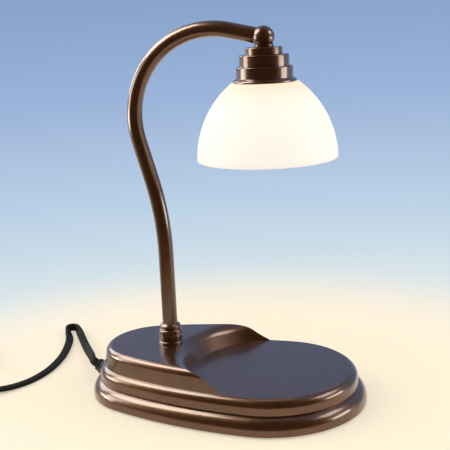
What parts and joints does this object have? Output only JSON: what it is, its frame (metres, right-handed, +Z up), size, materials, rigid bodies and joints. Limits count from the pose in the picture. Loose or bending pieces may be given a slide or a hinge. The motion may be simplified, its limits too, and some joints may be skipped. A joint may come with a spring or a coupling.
{
  "type": "candle warmer lamp",
  "caption": "Swan-neck candle warmer lamp: bronze painted egg-shaped base with a round bay for a jar candle, frosted glass dome over a halogen reflector bulb, power cord with in-line switch.",
  "frame": {"origin": "on the table under the middle of the base's outline", "axes": "+Z up; +X from the arm towards the candle and the shade; +Y across the base"},
  "size_m": [0.4218, 0.2102, 0.2756],
  "materials": {
    "bronze_paint": "gloss",
    "zinc_steel": "satin",
    "foot_rubber": "matte",
    "cast_weight": "matte",
    "black_plastic": "satin",
    "cord_pvc": "satin",
    "white_plastic": "matte",
    "brass": "satin",
    "bulb_pin_metal": "satin",
    "holder_ceramic": "satin",
    "opal_glass": "frosted",
    "reflector_glass": "polished",
    "clear_glass": "clear"
  },
  "bodies": {
    "lamp": {"base_housing": "bronze_paint", "base_cover": "zinc_steel", "cover_screws": "zinc_steel", "base_feet": "foot_rubber", "ballast_plate": "cast_weight", "cord_bushing": "black_plastic", "neck_nipple": "zinc_steel", "neck_washer": "zinc_steel", "neck_nut": "zinc_steel", "neck_collar": "bronze_paint", "arm_tube": "bronze_paint", "ball_fitting": "bronze_paint", "head_nipple": "zinc_steel", "head_nut": "zinc_steel", "shade_cap": "bronze_paint", "holder_carrier": "zinc_steel", "shade": "opal_glass", "shade_washer": "white_plastic", "shade_ring": "black_plastic", "lampholder": "holder_ceramic", "holder_screws": "zinc_steel", "holder_contacts": "brass", "base_lead": "cord_pvc", "arm_lead": "cord_pvc", "terminal_block": "white_plastic", "terminal_screws": "zinc_steel", "cord_to_switch": "cord_pvc", "switch_base": "black_plastic", "switch_lid": "black_plastic", "switch_screws": "zinc_steel", "switch_contacts": "brass", "cord_to_coil": "cord_pvc", "cord_coil": "cord_pvc", "coil_tie": "cord_pvc", "cord_to_plug": "cord_pvc", "plug_body": "black_plastic", "plug_blades": "brass"},
    "bulb": {"bulb_base": "holder_ceramic", "bulb_pins": "bulb_pin_metal", "bulb_reflector": "reflector_glass", "bulb_lens": "clear_glass", "bulb_capsule": "clear_glass"},
    "rocker": {"switch_rocker": "black_plastic"}
  },
  "joints": [
    {"name": "bulb_twist", "type": "hinge", "parent": "lamp", "child": "bulb", "pos_m": [0.03846, 0, 0.2332], "axis": [0, 0, 1], "range_deg": [0, 40]},
    {"name": "switch_rocking", "type": "hinge", "parent": "lamp", "child": "rocker", "pos_m": [-0.23319, -0.07218, 0.0126], "axis": [-0.4226, 0.9063, 0], "range_deg": [0, 18]}
  ]
}
